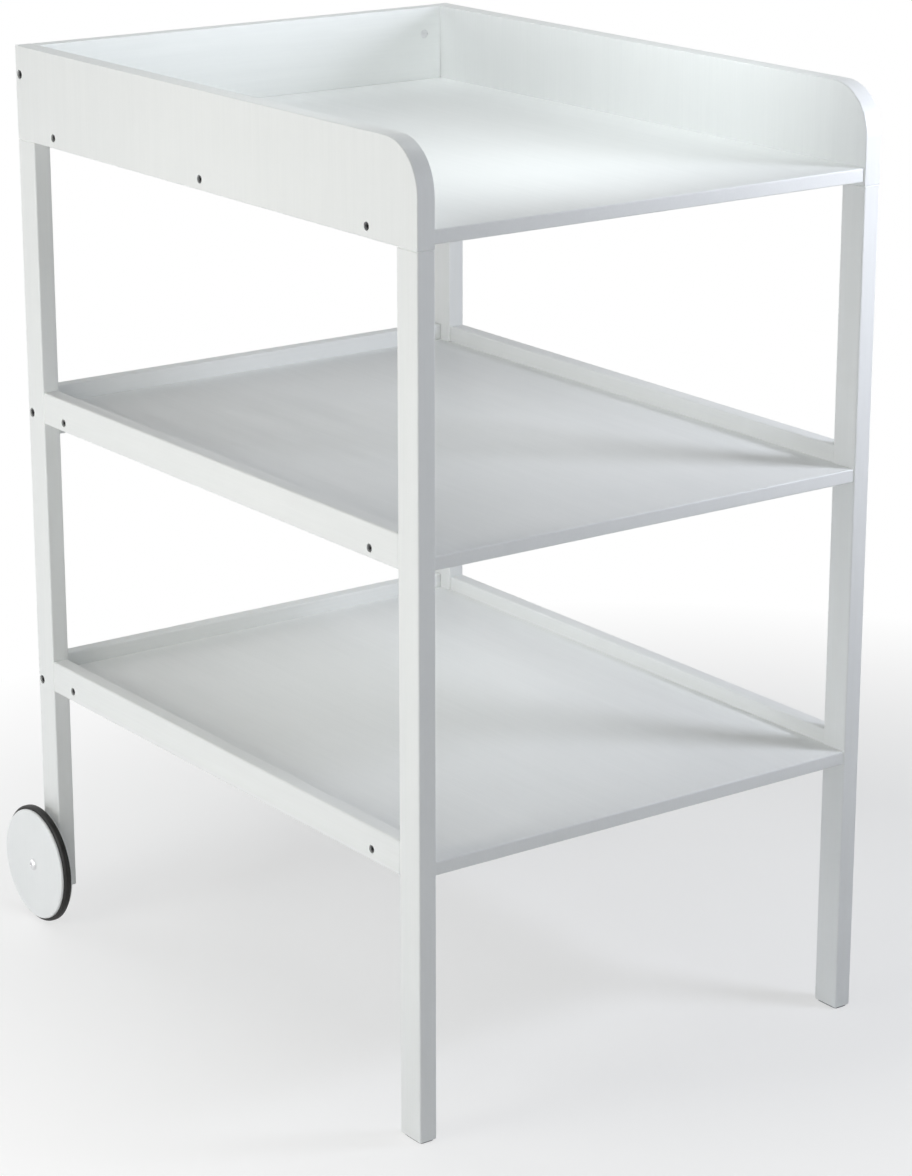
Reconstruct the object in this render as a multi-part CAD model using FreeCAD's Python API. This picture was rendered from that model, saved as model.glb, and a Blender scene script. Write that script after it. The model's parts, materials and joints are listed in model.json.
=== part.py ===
import FreeCAD
import Part
import math
import os

# A changing table on two front legs and two rear wheels, in millimetres.
# X runs along the open front, Y from the open front to the back, Z is up.
# The origin is on the floor, under the middle of the whole object, wheels included.

# Overall sizes
BODY_WIDTH = 559.0
BODY_DEPTH = 729.0
BODY_HEIGHT = 980.0

# Legs
LEG_WIDTH = 20.0
LEG_DEPTH = 33.0
LEG_TOP = 881.0
LEG_EDGE_RADIUS = 2.0
LEG_FOOT_RADIUS = 1.8
REAR_LEG_BOTTOM = 38.0

# The fine chamfer on each end that butts against another piece
JOINT_EASE = 1.0

# Glides under the front legs
GLIDE_HEIGHT = 1.5
GLIDE_INSET = 1.8
GLIDE_CORNER_RADIUS = 3.0

# Panels around the top
PANEL_CORNER_RADIUS = 50.0
PANEL_EDGE_RADIUS = 1.2
BACK_THICKNESS = 16.0

# Boards: the top board and the two shelves
BOARD_THICKNESS = 14.0
BOARD_SETBACK = 2.0
BOARD_EDGE_RADIUS = 1.5
TOP_BOARD_TOP = 899.0
MIDDLE_SHELF_TOP = 593.0
BOTTOM_SHELF_TOP = 290.0

# Side rails between the legs
RAIL_HEIGHT = 35.0
RAIL_THICKNESS = 18.0
RAIL_INSET = 0.5
RAIL_EDGE_RADIUS = 2.0
MIDDLE_LIP = 18.0
BOTTOM_LIP = 16.0
BACK_RAIL_HEIGHT = 54.0

# Screws through the panels and the side rails into the boards
SCREW_FRONT_INSET = 80.0
SCREW_REAR_INSET = 75.0
SCREW_DIAMETER = 5.0
SCREW_BITE = 30.0
SCREW_HEAD_DIAMETER = 7.2
SCREW_HEAD_HEIGHT = 4.0
SCREW_HEAD_RECESS = 1.0
SCREW_SOCKET_FLATS = 3.0
SCREW_SOCKET_DEPTH = 2.5
SCREW_CLEARANCE = 0.2
HEAD_CLEARANCE = 0.6

# Bolts and barrel nuts at the ends of the back panel and the back rails
BOLT_DIAMETER = 6.0
BOLT_HEAD_DIAMETER = 8.4
BOLT_HEAD_HEIGHT = 4.0
BOLT_HEAD_RECESS = 1.0
BOLT_SOCKET_FLATS = 4.0
BOLT_SOCKET_DEPTH = 2.5
BOLT_CLEARANCE = 0.25
BARREL_NUT_DIAMETER = 10.0
BARREL_NUT_LENGTH = 13.0
BARREL_NUT_INSET = 22.5
BARREL_NUT_SLOT_WIDTH = 1.5
BARREL_NUT_SLOT_DEPTH = 1.5
BOLT_OVERRUN = 8.0
PANEL_BOLT_DROP = 30.0

# Dowels in the glued joints
DOWEL_DIAMETER = 6.0
DOWEL_HALF_LENGTH = 14.0
DOWEL_HOLE_SPARE = 1.0
RAIL_DOWEL_SPACING = 16.0
PANEL_DOWEL_RISE = 24.0
BACK_RAIL_DOWEL_SPACING = 34.0

# Wheels
TYRE_RADIUS = 66.5
TYRE_WIDTH = 8.6
TYRE_EDGE_RADIUS = 3.0
DISC_RADIUS = 62.6
DISC_THICKNESS = 14.6
DISC_FACE_EDGE_RADIUS = 2.2
DISC_BACK_EDGE_RADIUS = 1.5
GROOVE_RADIUS = 59.5
GROOVE_FROM_FACE = 3.3
BUSH_DIAMETER = 12.0
AXLE_FROM_REAR = 14.5
AXLE_DIAMETER = 8.0
AXLE_RUNNING_CLEARANCE = 0.06
WHEEL_END_PLAY = 0.2
SPACER_DIAMETER = 20.0
SPACER_THICKNESS = 9.2
WASHER_DIAMETER = 14.0
WASHER_THICKNESS = 0.8
AXLE_HEAD_DIAMETER = 11.0
AXLE_HEAD_HEIGHT = 2.2
AXLE_HEAD_ROUND = 1.2
AXLE_SOCKET_FLATS = 4.0
AXLE_SOCKET_DEPTH = 1.4
INSERT_DIAMETER = 12.0
INSERT_LENGTH = 17.0

# Places that follow from the sizes above
HALF_WIDTH = BODY_WIDTH / 2
HALF_INSIDE = HALF_WIDTH - LEG_WIDTH
WHEEL_OVERHANG = TYRE_RADIUS - AXLE_FROM_REAR
OVERALL_LENGTH = BODY_DEPTH + WHEEL_OVERHANG
FRONT_Y = -OVERALL_LENGTH / 2
REAR_Y = FRONT_Y + BODY_DEPTH
FRONT_LEG_BACK_Y = FRONT_Y + LEG_DEPTH
REAR_LEG_FRONT_Y = REAR_Y - LEG_DEPTH
BACK_INNER_Y = REAR_Y - BACK_THICKNESS
BACK_MIDDLE_Y = REAR_Y - BACK_THICKNESS / 2
RAIL_OUTER_X = HALF_WIDTH - RAIL_INSET
RAIL_INNER_X = RAIL_OUTER_X - RAIL_THICKNESS
LEG_MIDDLE_X = HALF_WIDTH - LEG_WIDTH / 2
RAIL_MIDDLE_X = RAIL_OUTER_X - RAIL_THICKNESS / 2
FRONT_LEG_MIDDLE_Y = FRONT_Y + LEG_DEPTH / 2
REAR_LEG_MIDDLE_Y = REAR_Y - LEG_DEPTH / 2
FRONT_SCREW_Y = FRONT_Y + SCREW_FRONT_INSET
REAR_SCREW_Y = REAR_Y - SCREW_REAR_INSET
MIDDLE_SCREW_Y = (FRONT_SCREW_Y + REAR_SCREW_Y) / 2
PANEL_SCREW_YS = [FRONT_SCREW_Y, MIDDLE_SCREW_Y, REAR_SCREW_Y]
SHELF_SCREW_YS = [FRONT_SCREW_Y, REAR_SCREW_Y]
PANEL_BOLT_Z = BODY_HEIGHT - PANEL_BOLT_DROP
PANEL_DOWEL_Z = LEG_TOP + PANEL_DOWEL_RISE
BARREL_NUT_X = HALF_INSIDE - BARREL_NUT_INSET
AXLE_Y = REAR_Y - AXLE_FROM_REAR
AXLE_Z = TYRE_RADIUS

# The two lower levels: shelf top, rail top
LEVELS = {
    "middle": (MIDDLE_SHELF_TOP, MIDDLE_SHELF_TOP + MIDDLE_LIP),
    "bottom": (BOTTOM_SHELF_TOP, BOTTOM_SHELF_TOP + BOTTOM_LIP),
}
SIDES = {"left": -1, "right": 1}


def block(x_a, x_b, y_a, y_b, z_a, z_b):
    """A box between two x, two y and two z values, in any order."""
    corner = FreeCAD.Vector(min(x_a, x_b), min(y_a, y_b), min(z_a, z_b))
    return Part.makeBox(abs(x_b - x_a), abs(y_b - y_a), abs(z_b - z_a), corner)


def rod(diameter, length, start, direction):
    """A cylinder that begins at a point and runs along a direction."""
    return Part.makeCylinder(diameter / 2, length, FreeCAD.Vector(*start), FreeCAD.Vector(*direction))


def hexagon_rod(flats, length, start, side):
    """A hexagonal prism along X, for a socket that opens at its start point."""
    corner_radius = flats / math.sqrt(3)
    centre = FreeCAD.Vector(*start)
    points = []
    for corner in range(7):
        angle = math.radians(60 * corner)
        arm = FreeCAD.Vector(0, corner_radius * math.cos(angle), corner_radius * math.sin(angle))
        points.append(centre + arm)
    face = Part.Face(Part.makePolygon(points))
    return face.extrude(FreeCAD.Vector(-side * length, 0, 0))


def edges_along(shape, axis):
    """The straight edges of a shape that run along X (0), Y (1) or Z (2)."""
    chosen = []
    for edge in shape.Edges:
        if edge.Curve.TypeId != "Part::GeomLine":
            continue
        if abs(edge.Curve.Direction[axis]) > 0.999:
            chosen.append(edge)
    return chosen


def soften(shape, radius, axes):
    """Round the straight edges of a block that run along the given axes."""
    edges = []
    for axis in axes:
        edges.extend(edges_along(shape, axis))
    return shape.makeFillet(radius, edges)


def rim_at(shape, axis, place):
    """The edges of a shape that lie in one plane across X (0), Y (1) or Z (2)."""
    chosen = []
    for edge in shape.Edges:
        box = edge.BoundBox
        low = (box.XMin, box.YMin, box.ZMin)[axis]
        high = (box.XMax, box.YMax, box.ZMax)[axis]
        if abs(low - place) < 0.01 and abs(high - place) < 0.01:
            chosen.append(edge)
    return chosen


def ease(shape, axis, places):
    """A fine chamfer round each end that butts against another piece."""
    for place in places:
        shape = shape.makeChamfer(JOINT_EASE, rim_at(shape, axis, place))
    return shape


def level_screw_z(level):
    """Height of the screws that hold a shelf: the middle of its board."""
    return LEVELS[level][0] - BOARD_THICKNESS / 2


def top_screw_z():
    """Height of the screws that hold the top board."""
    return TOP_BOARD_TOP - BOARD_THICKNESS / 2


def back_bolt_z(level):
    """Height of the bolt at each end of a back rail: the middle of the rail."""
    return LEVELS[level][1] - BACK_RAIL_HEIGHT / 2


def rail_dowel_points(level):
    """Heights of the two dowels at each end of a side rail."""
    middle = LEVELS[level][1] - RAIL_HEIGHT / 2
    return [middle - RAIL_DOWEL_SPACING / 2, middle + RAIL_DOWEL_SPACING / 2]


def back_rail_dowel_points(level):
    """Heights of the two dowels at each end of a back rail."""
    middle = back_bolt_z(level)
    return [middle - BACK_RAIL_DOWEL_SPACING / 2, middle + BACK_RAIL_DOWEL_SPACING / 2]


def dowel(point, direction):
    """A dowel that stands half on each side of a joint."""
    axis = FreeCAD.Vector(*direction)
    start = FreeCAD.Vector(*point) - axis * DOWEL_HALF_LENGTH
    return rod(DOWEL_DIAMETER, 2 * DOWEL_HALF_LENGTH, start, direction)


def dowel_hole(point, direction):
    """The hole for a dowel, a little longer than the dowel at both ends."""
    axis = FreeCAD.Vector(*direction)
    reach = DOWEL_HALF_LENGTH + DOWEL_HOLE_SPARE
    start = FreeCAD.Vector(*point) - axis * reach
    return rod(DOWEL_DIAMETER, 2 * reach, start, direction)


def screw(side, face_x, inner_x, y, z):
    """A flat-headed socket screw along X, sunk just below an outer face."""
    head_start = side * (face_x - SCREW_HEAD_RECESS)
    end_x = inner_x - SCREW_BITE
    length = face_x - SCREW_HEAD_RECESS - end_x
    inward = (-side, 0, 0)
    head = rod(SCREW_HEAD_DIAMETER, SCREW_HEAD_HEIGHT, (head_start, y, z), inward)
    shank = rod(SCREW_DIAMETER, length, (head_start, y, z), inward)
    socket = hexagon_rod(SCREW_SOCKET_FLATS, SCREW_SOCKET_DEPTH, (head_start, y, z), side)
    return head.fuse(shank).cut(socket).removeSplitter()


def screw_way(side, face_x, inner_x, y, z):
    """The stepped hole for a screw through an outer piece, open at both faces."""
    inward = (-side, 0, 0)
    depth = SCREW_HEAD_RECESS + SCREW_HEAD_HEIGHT
    start = (side * face_x, y, z)
    counterbore = rod(SCREW_HEAD_DIAMETER + 2 * HEAD_CLEARANCE, depth, start, inward)
    through = rod(SCREW_DIAMETER + 2 * SCREW_CLEARANCE, face_x - inner_x, start, inward)
    return counterbore.fuse(through)


def screw_bite_hole(side, inner_x, y, z):
    """The hole that a screw's thread fills in the edge of a board."""
    return rod(SCREW_DIAMETER, SCREW_BITE, (side * inner_x, y, z), (-side, 0, 0))


def bolt(side, y, z):
    """A bolt along X from an outer side face, through to just past its barrel nut."""
    head_start = side * (HALF_WIDTH - BOLT_HEAD_RECESS)
    length = HALF_WIDTH - BOLT_HEAD_RECESS - BARREL_NUT_X + BOLT_OVERRUN
    inward = (-side, 0, 0)
    head = rod(BOLT_HEAD_DIAMETER, BOLT_HEAD_HEIGHT, (head_start, y, z), inward)
    shank = rod(BOLT_DIAMETER, length, (head_start, y, z), inward)
    socket = hexagon_rod(BOLT_SOCKET_FLATS, BOLT_SOCKET_DEPTH, (head_start, y, z), side)
    return head.fuse(shank).cut(socket).removeSplitter()


def bolt_way(side, y, z):
    """The stepped hole for a bolt through a side panel or a rear leg."""
    inward = (-side, 0, 0)
    start = (side * HALF_WIDTH, y, z)
    depth = BOLT_HEAD_RECESS + BOLT_HEAD_HEIGHT
    counterbore = rod(BOLT_HEAD_DIAMETER + 2 * HEAD_CLEARANCE, depth, start, inward)
    through = rod(BOLT_DIAMETER + 2 * BOLT_CLEARANCE, LEG_WIDTH, start, inward)
    return counterbore.fuse(through)


def bolt_end_hole(side, y, z):
    """The hole for a bolt in the end of the back panel or a back rail."""
    depth = BARREL_NUT_INSET + BOLT_OVERRUN + BOLT_CLEARANCE
    diameter = BOLT_DIAMETER + 2 * BOLT_CLEARANCE
    return rod(diameter, depth, (side * HALF_INSIDE, y, z), (-side, 0, 0))


def barrel_nut(side, open_y, into, z):
    """A slotted cross dowel along Y, flush with the face that its hole opens at."""
    x = side * BARREL_NUT_X
    barrel = rod(BARREL_NUT_DIAMETER, BARREL_NUT_LENGTH, (x, open_y, z), (0, into, 0))
    thread = rod(BOLT_DIAMETER, BARREL_NUT_DIAMETER * 2,
                 (x - BARREL_NUT_DIAMETER, BACK_MIDDLE_Y, z), (1, 0, 0))
    slot = block(x - BARREL_NUT_DIAMETER / 2, x + BARREL_NUT_DIAMETER / 2,
                 open_y, open_y + into * BARREL_NUT_SLOT_DEPTH,
                 z - BARREL_NUT_SLOT_WIDTH / 2, z + BARREL_NUT_SLOT_WIDTH / 2)
    return barrel.cut(thread).cut(slot)


def barrel_nut_hole(side, open_y, into, z):
    """The hole across a bolt for its barrel nut."""
    start = (side * BARREL_NUT_X, open_y, z)
    return rod(BARREL_NUT_DIAMETER, BARREL_NUT_LENGTH, start, (0, into, 0))


def front_leg(side):
    """A straight leg from its glide up to the side panel."""
    leg = block(side * HALF_INSIDE, side * HALF_WIDTH, FRONT_Y, FRONT_LEG_BACK_Y, GLIDE_HEIGHT, LEG_TOP)
    leg = soften(leg, LEG_EDGE_RADIUS, [2])
    leg = leg.makeFillet(LEG_FOOT_RADIUS, rim_at(leg, 2, GLIDE_HEIGHT))
    leg = ease(leg, 2, [LEG_TOP])
    for level in LEVELS:
        for z in rail_dowel_points(level):
            leg = leg.cut(dowel_hole((side * RAIL_MIDDLE_X, FRONT_LEG_BACK_Y, z), (0, 1, 0)))
    return leg.cut(dowel_hole((side * LEG_MIDDLE_X, FRONT_LEG_MIDDLE_Y, LEG_TOP), (0, 0, 1)))


def rear_leg(side):
    """A leg that stops above the floor, with the bore for its axle insert."""
    leg = block(side * HALF_INSIDE, side * HALF_WIDTH, REAR_LEG_FRONT_Y, REAR_Y, REAR_LEG_BOTTOM, LEG_TOP)
    leg = soften(leg, LEG_EDGE_RADIUS, [2])
    leg = leg.makeFillet(LEG_FOOT_RADIUS, rim_at(leg, 2, REAR_LEG_BOTTOM))
    leg = ease(leg, 2, [LEG_TOP])
    for level in LEVELS:
        for z in rail_dowel_points(level):
            leg = leg.cut(dowel_hole((side * RAIL_MIDDLE_X, REAR_LEG_FRONT_Y, z), (0, 1, 0)))
        for z in back_rail_dowel_points(level):
            leg = leg.cut(dowel_hole((side * HALF_INSIDE, BACK_MIDDLE_Y, z), (1, 0, 0)))
        leg = leg.cut(bolt_way(side, BACK_MIDDLE_Y, back_bolt_z(level)))
    leg = leg.cut(dowel_hole((side * LEG_MIDDLE_X, REAR_LEG_MIDDLE_Y, LEG_TOP), (0, 0, 1)))
    outer_bore = rod(AXLE_DIAMETER, LEG_WIDTH, (side * HALF_WIDTH, AXLE_Y, AXLE_Z), (-side, 0, 0))
    insert_bore = rod(INSERT_DIAMETER, INSERT_LENGTH, (side * HALF_INSIDE, AXLE_Y, AXLE_Z), (side, 0, 0))
    return leg.cut(outer_bore).cut(insert_bore)


def front_glide(side):
    """A thin pad under a front leg, set in from the leg's faces."""
    pad = block(side * (HALF_INSIDE + GLIDE_INSET), side * (HALF_WIDTH - GLIDE_INSET),
                FRONT_Y + GLIDE_INSET, FRONT_LEG_BACK_Y - GLIDE_INSET, 0, GLIDE_HEIGHT)
    return soften(pad, GLIDE_CORNER_RADIUS, [2])


def side_panel(side):
    """A side panel on two legs, with a large round corner at the upper front."""
    radius = PANEL_CORNER_RADIUS
    x = side * HALF_INSIDE
    arc_middle = radius * (1 - math.sqrt(0.5))
    low_front = FreeCAD.Vector(x, FRONT_Y, LEG_TOP)
    arc_start = FreeCAD.Vector(x, FRONT_Y, BODY_HEIGHT - radius)
    arc_centre = FreeCAD.Vector(x, FRONT_Y + arc_middle, BODY_HEIGHT - arc_middle)
    arc_end = FreeCAD.Vector(x, FRONT_Y + radius, BODY_HEIGHT)
    high_rear = FreeCAD.Vector(x, REAR_Y, BODY_HEIGHT)
    low_rear = FreeCAD.Vector(x, REAR_Y, LEG_TOP)
    edges = [
        Part.LineSegment(low_front, arc_start).toShape(),
        Part.Arc(arc_start, arc_centre, arc_end).toShape(),
        Part.LineSegment(arc_end, high_rear).toShape(),
        Part.LineSegment(high_rear, low_rear).toShape(),
        Part.LineSegment(low_rear, low_front).toShape(),
    ]
    panel = Part.Face(Part.Wire(edges)).extrude(FreeCAD.Vector(side * LEG_WIDTH, 0, 0))
    rim = [edge for edge in rim_at(panel, 0, x) + rim_at(panel, 0, side * HALF_WIDTH)
           if edge.BoundBox.ZMax > LEG_TOP + 1]
    panel = panel.makeFillet(PANEL_EDGE_RADIUS, rim)
    panel = ease(panel, 2, [LEG_TOP])
    for y in PANEL_SCREW_YS:
        panel = panel.cut(screw_way(side, HALF_WIDTH, HALF_INSIDE, y, top_screw_z()))
    panel = panel.cut(bolt_way(side, BACK_MIDDLE_Y, PANEL_BOLT_Z))
    panel = panel.cut(dowel_hole((side * HALF_INSIDE, BACK_MIDDLE_Y, PANEL_DOWEL_Z), (1, 0, 0)))
    for y in [FRONT_LEG_MIDDLE_Y, REAR_LEG_MIDDLE_Y]:
        panel = panel.cut(dowel_hole((side * LEG_MIDDLE_X, y, LEG_TOP), (0, 0, 1)))
    return panel


def back_panel():
    """The panel between the two side panels at the back."""
    panel = block(-HALF_INSIDE, HALF_INSIDE, BACK_INNER_Y, REAR_Y, LEG_TOP, BODY_HEIGHT)
    panel = soften(panel, PANEL_EDGE_RADIUS, [0])
    panel = ease(panel, 0, [-HALF_INSIDE, HALF_INSIDE])
    for side in SIDES.values():
        panel = panel.cut(bolt_end_hole(side, BACK_MIDDLE_Y, PANEL_BOLT_Z))
        panel = panel.cut(barrel_nut_hole(side, BACK_INNER_Y, 1, PANEL_BOLT_Z))
        panel = panel.cut(dowel_hole((side * HALF_INSIDE, BACK_MIDDLE_Y, PANEL_DOWEL_Z), (1, 0, 0)))
    return panel


def top_board():
    """The board that a baby lies on, between the side panels and the back panel."""
    board = block(-HALF_INSIDE, HALF_INSIDE, FRONT_Y + BOARD_SETBACK, BACK_INNER_Y,
                  TOP_BOARD_TOP - BOARD_THICKNESS, TOP_BOARD_TOP)
    board = soften(board, BOARD_EDGE_RADIUS, [0])
    for side in SIDES.values():
        for y in PANEL_SCREW_YS:
            board = board.cut(screw_bite_hole(side, HALF_INSIDE, y, top_screw_z()))
    return board


def shelf(level):
    """A shelf between the side rails, notched round the four legs."""
    top = LEVELS[level][0]
    bottom = top - BOARD_THICKNESS
    front = FRONT_Y + BOARD_SETBACK
    board = block(-RAIL_INNER_X, RAIL_INNER_X, front, BACK_INNER_Y, bottom, top)
    for side in SIDES.values():
        front_notch = block(side * HALF_INSIDE, side * RAIL_INNER_X, front, FRONT_LEG_BACK_Y, bottom, top)
        rear_notch = block(side * HALF_INSIDE, side * RAIL_INNER_X,
                           REAR_LEG_FRONT_Y, BACK_INNER_Y, bottom, top)
        board = board.cut(front_notch).cut(rear_notch)
    long_edges = [edge for edge in edges_along(board, 0) if edge.BoundBox.XLength > BODY_WIDTH / 2]
    board = board.makeFillet(BOARD_EDGE_RADIUS, long_edges)
    for side in SIDES.values():
        for y in SHELF_SCREW_YS:
            board = board.cut(screw_bite_hole(side, RAIL_INNER_X, y, level_screw_z(level)))
    return board


def side_rail(side, level):
    """A rail between the front and rear legs, which stands above its shelf as a lip."""
    top = LEVELS[level][1]
    rail = block(side * RAIL_INNER_X, side * RAIL_OUTER_X, FRONT_LEG_BACK_Y, REAR_LEG_FRONT_Y,
                 top - RAIL_HEIGHT, top)
    rail = soften(rail, RAIL_EDGE_RADIUS, [1])
    rail = ease(rail, 1, [FRONT_LEG_BACK_Y, REAR_LEG_FRONT_Y])
    for y in SHELF_SCREW_YS:
        rail = rail.cut(screw_way(side, RAIL_OUTER_X, RAIL_INNER_X, y, level_screw_z(level)))
    for y in [FRONT_LEG_BACK_Y, REAR_LEG_FRONT_Y]:
        for z in rail_dowel_points(level):
            rail = rail.cut(dowel_hole((side * RAIL_MIDDLE_X, y, z), (0, 1, 0)))
    return rail


def back_rail(level):
    """A rail between the rear legs, flush with their rear faces."""
    top = LEVELS[level][1]
    rail = block(-HALF_INSIDE, HALF_INSIDE, BACK_INNER_Y, REAR_Y, top - BACK_RAIL_HEIGHT, top)
    rail = soften(rail, RAIL_EDGE_RADIUS, [0])
    rail = ease(rail, 0, [-HALF_INSIDE, HALF_INSIDE])
    for side in SIDES.values():
        rail = rail.cut(bolt_end_hole(side, BACK_MIDDLE_Y, back_bolt_z(level)))
        rail = rail.cut(barrel_nut_hole(side, REAR_Y, -1, back_bolt_z(level)))
        for z in back_rail_dowel_points(level):
            rail = rail.cut(dowel_hole((side * HALF_INSIDE, BACK_MIDDLE_Y, z), (1, 0, 0)))
    return rail


def panel_screws(side):
    """The three screws that hold the top board at one side."""
    screws = []
    for y in PANEL_SCREW_YS:
        screws.append(screw(side, HALF_WIDTH, HALF_INSIDE, y, top_screw_z()))
    return Part.makeCompound(screws)


def shelf_screws(side, level):
    """The two screws that hold a shelf at one side."""
    screws = []
    for y in SHELF_SCREW_YS:
        screws.append(screw(side, RAIL_OUTER_X, RAIL_INNER_X, y, level_screw_z(level)))
    return Part.makeCompound(screws)


def back_rail_bolts(level):
    """The two bolts of a back rail."""
    return Part.makeCompound([bolt(side, BACK_MIDDLE_Y, back_bolt_z(level)) for side in SIDES.values()])


def back_rail_nuts(level):
    """The two barrel nuts of a back rail, which open at the rear face."""
    return Part.makeCompound([barrel_nut(side, REAR_Y, -1, back_bolt_z(level)) for side in SIDES.values()])


def rail_dowels(side):
    """The eight dowels in the side rails' ends at one side."""
    dowels = []
    for level in LEVELS:
        for y in [FRONT_LEG_BACK_Y, REAR_LEG_FRONT_Y]:
            for z in rail_dowel_points(level):
                dowels.append(dowel((side * RAIL_MIDDLE_X, y, z), (0, 1, 0)))
    return Part.makeCompound(dowels)


def leg_top_dowels(side):
    """The two dowels between the legs and the side panel at one side."""
    dowels = []
    for y in [FRONT_LEG_MIDDLE_Y, REAR_LEG_MIDDLE_Y]:
        dowels.append(dowel((side * LEG_MIDDLE_X, y, LEG_TOP), (0, 0, 1)))
    return Part.makeCompound(dowels)


def back_dowels(side):
    """The dowels at one end of the back panel and the two back rails."""
    heights = [PANEL_DOWEL_Z]
    for level in LEVELS:
        heights.extend(back_rail_dowel_points(level))
    return Part.makeCompound([dowel((side * HALF_INSIDE, BACK_MIDDLE_Y, z), (1, 0, 0)) for z in heights])


def wheel_x(distance):
    """Distance from the centre plane to a point outside the leg's outer face."""
    return HALF_WIDTH + distance


DISC_BACK_X = wheel_x(SPACER_THICKNESS + WHEEL_END_PLAY)
DISC_FACE_X = DISC_BACK_X + DISC_THICKNESS
TYRE_FACE_X = DISC_FACE_X - GROOVE_FROM_FACE
WASHER_X = DISC_FACE_X + WHEEL_END_PLAY
HEAD_X = WASHER_X + WASHER_THICKNESS


def ring(side, from_x, width, outer_radius, inner_radius):
    """A ring round the axle, from one distance outwards."""
    start = (side * from_x, AXLE_Y, AXLE_Z)
    outer = rod(2 * outer_radius, width, start, (side, 0, 0))
    return outer.cut(rod(2 * inner_radius, width, start, (side, 0, 0)))


def circles_at(shape, x, radius):
    """The circular edges of a radius that lie in a plane across X."""
    chosen = []
    for edge in shape.Edges:
        if edge.Curve.TypeId != "Part::GeomCircle":
            continue
        if abs(edge.Curve.Center.x - x) < 0.01 and abs(edge.Curve.Radius - radius) < 0.01:
            chosen.append(edge)
    return chosen


def wheel_disc(side):
    """A disc with soft edges, a groove for the tyre and a bore for the bush."""
    disc = ring(side, DISC_BACK_X, DISC_THICKNESS, DISC_RADIUS, BUSH_DIAMETER / 2)
    disc = disc.makeFillet(DISC_FACE_EDGE_RADIUS, circles_at(disc, side * DISC_FACE_X, DISC_RADIUS))
    disc = disc.makeFillet(DISC_BACK_EDGE_RADIUS, circles_at(disc, side * DISC_BACK_X, DISC_RADIUS))
    groove = ring(side, TYRE_FACE_X - TYRE_WIDTH, TYRE_WIDTH, TYRE_RADIUS, GROOVE_RADIUS)
    return disc.cut(groove)


def tyre(side):
    """A rubber ring in the disc's groove, with softened treads."""
    band = ring(side, TYRE_FACE_X - TYRE_WIDTH, TYRE_WIDTH, TYRE_RADIUS, GROOVE_RADIUS)
    treads = circles_at(band, side * TYRE_FACE_X, TYRE_RADIUS)
    treads.extend(circles_at(band, side * (TYRE_FACE_X - TYRE_WIDTH), TYRE_RADIUS))
    return band.makeFillet(TYRE_EDGE_RADIUS, treads)


def wheel_bush(side):
    """The sleeve pressed into the disc, which turns on the axle."""
    bore_radius = AXLE_DIAMETER / 2 + AXLE_RUNNING_CLEARANCE
    return ring(side, DISC_BACK_X, DISC_THICKNESS, BUSH_DIAMETER / 2, bore_radius)


def wheel_spacer(side):
    """The thick washer that keeps the disc off the leg."""
    return ring(side, HALF_WIDTH, SPACER_THICKNESS, SPACER_DIAMETER / 2, AXLE_DIAMETER / 2)


def wheel_washer(side):
    """The thin washer under the axle's head."""
    return ring(side, WASHER_X, WASHER_THICKNESS, WASHER_DIAMETER / 2, AXLE_DIAMETER / 2)


def axle_bolt(side):
    """The axle: a domed socket head, and a shank that screws into the insert."""
    start = (side * HEAD_X, AXLE_Y, AXLE_Z)
    end_x = HALF_INSIDE + LEG_WIDTH - INSERT_LENGTH
    head = rod(AXLE_HEAD_DIAMETER, AXLE_HEAD_HEIGHT, start, (side, 0, 0))
    top_x = side * (HEAD_X + AXLE_HEAD_HEIGHT)
    head = head.makeFillet(AXLE_HEAD_ROUND, circles_at(head, top_x, AXLE_HEAD_DIAMETER / 2))
    shank = rod(AXLE_DIAMETER, HEAD_X - end_x, start, (-side, 0, 0))
    socket = hexagon_rod(AXLE_SOCKET_FLATS, AXLE_SOCKET_DEPTH, (top_x, AXLE_Y, AXLE_Z), side)
    return head.fuse(shank).cut(socket).removeSplitter()


def axle_insert(side):
    """The threaded insert in the rear leg, from the leg's inner face."""
    return ring(side, HALF_INSIDE, INSERT_LENGTH, INSERT_DIAMETER / 2, AXLE_DIAMETER / 2)


def all_nodes():
    """Every sub-part by its node name."""
    nodes = {}
    for name, side in SIDES.items():
        nodes["front_" + name + "_leg"] = front_leg(side)
        nodes["rear_" + name + "_leg"] = rear_leg(side)
        nodes["front_" + name + "_glide"] = front_glide(side)
        nodes[name + "_side_panel"] = side_panel(side)
        nodes[name + "_panel_screws"] = panel_screws(side)
        nodes[name + "_back_panel_bolt"] = bolt(side, BACK_MIDDLE_Y, PANEL_BOLT_Z)
        nodes[name + "_back_panel_nut"] = barrel_nut(side, BACK_INNER_Y, 1, PANEL_BOLT_Z)
        nodes[name + "_rail_dowels"] = rail_dowels(side)
        nodes[name + "_leg_top_dowels"] = leg_top_dowels(side)
        nodes[name + "_back_dowels"] = back_dowels(side)
        nodes[name + "_wheel_disc"] = wheel_disc(side)
        nodes[name + "_tyre"] = tyre(side)
        nodes[name + "_wheel_bush"] = wheel_bush(side)
        nodes[name + "_wheel_spacer"] = wheel_spacer(side)
        nodes[name + "_wheel_washer"] = wheel_washer(side)
        nodes[name + "_axle_bolt"] = axle_bolt(side)
        nodes[name + "_axle_insert"] = axle_insert(side)
        for level in LEVELS:
            nodes[name + "_" + level + "_rail"] = side_rail(side, level)
            nodes[name + "_" + level + "_shelf_screws"] = shelf_screws(side, level)
    nodes["back_panel"] = back_panel()
    nodes["top_board"] = top_board()
    for level in LEVELS:
        nodes[level + "_shelf"] = shelf(level)
        nodes[level + "_back_rail"] = back_rail(level)
        nodes[level + "_back_rail_bolts"] = back_rail_bolts(level)
        nodes[level + "_back_rail_nuts"] = back_rail_nuts(level)
    return nodes


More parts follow.
